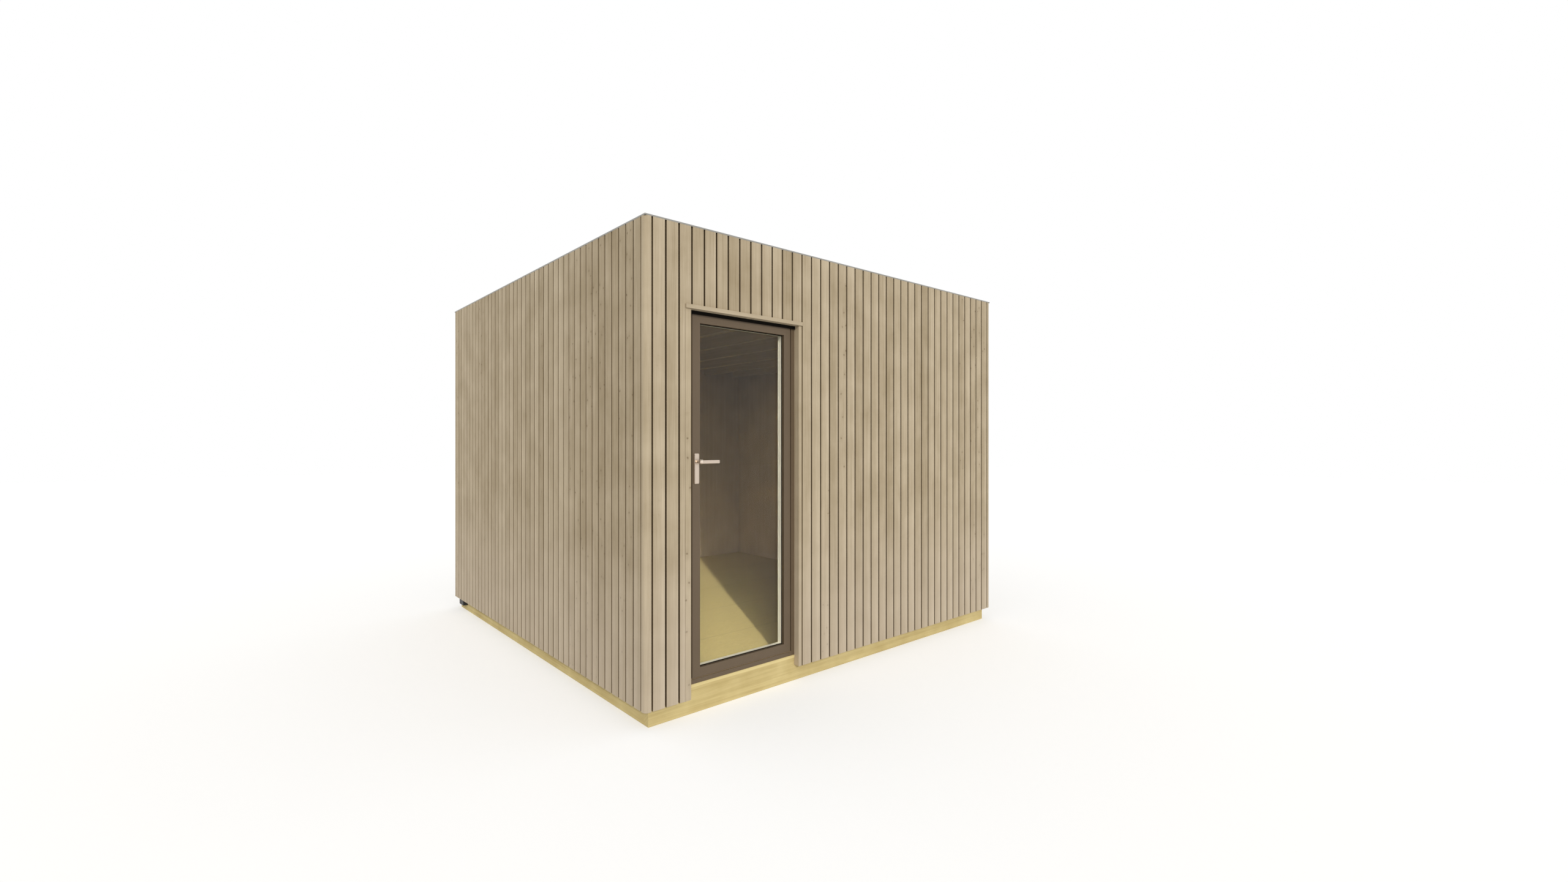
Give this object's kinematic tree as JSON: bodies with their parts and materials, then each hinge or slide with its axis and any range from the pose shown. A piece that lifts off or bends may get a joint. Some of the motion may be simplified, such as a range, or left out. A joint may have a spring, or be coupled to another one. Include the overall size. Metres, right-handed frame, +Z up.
{
  "type": "garden studio",
  "caption": "Nearly square timber garden room with vertical open-jointed boards, a flat roof behind a parapet and one glazed door that opens inwards.",
  "frame": {"origin": "centre of the footprint's box, on the underside of the base bearers", "axes": "+X to the right along the front wall seen from outside, +Y from the front wall to the back, +Z up"},
  "size_m": [3.205, 3.375, 2.62],
  "materials": {
    "base_timber": "pressure treated softwood, sawn",
    "floor_board": "pale structural board",
    "wall_lining": "plain board lining",
    "cladding_wood": "weathered vertical softwood boards",
    "trim_wood": "weathered softwood",
    "roof_timber": "planed softwood",
    "insulation": "foam board",
    "roof_membrane": "smooth rubber sheet",
    "edge_metal": "satin grey coated sheet",
    "frame_brown": "brown textured foil",
    "bead_pale": "pale smooth profile",
    "seal_black": "matt black rubber",
    "door_glass": "clear double glazing",
    "handle_metal": "satin",
    "hinge_metal": "pale coated metal",
    "black_plastic": "matt black plastic"
  },
  "bodies": {
    "building": {"base_front_bearer": "base_timber", "base_back_bearer": "base_timber", "base_left_bearer": "base_timber", "base_right_bearer": "base_timber", "floor_joists": "base_timber", "door_sill": "base_timber", "floor_panel": "floor_board", "roof_deck": "floor_board", "left_wall": "wall_lining", "right_wall": "wall_lining", "back_wall": "wall_lining", "front_wall_left": "wall_lining", "front_wall_right": "wall_lining", "front_wall_over_door": "wall_lining", "left_cladding": "cladding_wood", "right_cladding": "cladding_wood", "back_cladding": "cladding_wood", "front_cladding_left": "cladding_wood", "front_cladding_right": "cladding_wood", "front_cladding_over_door": "cladding_wood", "corner_trim_front_left": "trim_wood", "corner_trim_front_right": "trim_wood", "corner_trim_back_left": "trim_wood", "corner_trim_back_right": "trim_wood", "door_trim_left": "trim_wood", "door_trim_right": "trim_wood", "door_header_trim": "trim_wood", "roof_joists": "roof_timber", "roof_insulation": "insulation", "roof_membrane": "roof_membrane", "roof_edge_trim": "edge_metal", "frame_jamb_left": "frame_brown", "frame_jamb_right": "frame_brown", "frame_head": "frame_brown", "frame_threshold": "frame_brown", "head_seal": "seal_black", "frame_hinges": "hinge_metal", "cable_entry_box": "black_plastic"},
    "leaf": {"leaf_lock_stile": "frame_brown", "leaf_hinge_stile": "frame_brown", "leaf_top_rail": "frame_brown", "leaf_bottom_rail": "frame_brown", "glass_pane": "door_glass", "glazing_beads": "bead_pale", "handle_plate_outside": "handle_metal", "handle_plate_inside": "handle_metal", "leaf_hinges": "hinge_metal"},
    "handle": {"lever_outside": "handle_metal", "lever_inside": "handle_metal", "spindle": "handle_metal"}
  },
  "joints": [
    {"name": "door_swing", "type": "hinge", "parent": "building", "child": "leaf", "pos_m": [-0.5365, -1.567, 1.182], "axis": [0, 0, -1], "range_deg": [0, 90]},
    {"name": "lever_turn", "type": "hinge", "parent": "leaf", "child": "handle", "pos_m": [-1.2658, -1.6345, 1.358], "axis": [0, 1, 0], "range_deg": [0, 40], "stiffness_Nm_per_rad": 1.5, "springref_deg": -28.65}
  ]
}
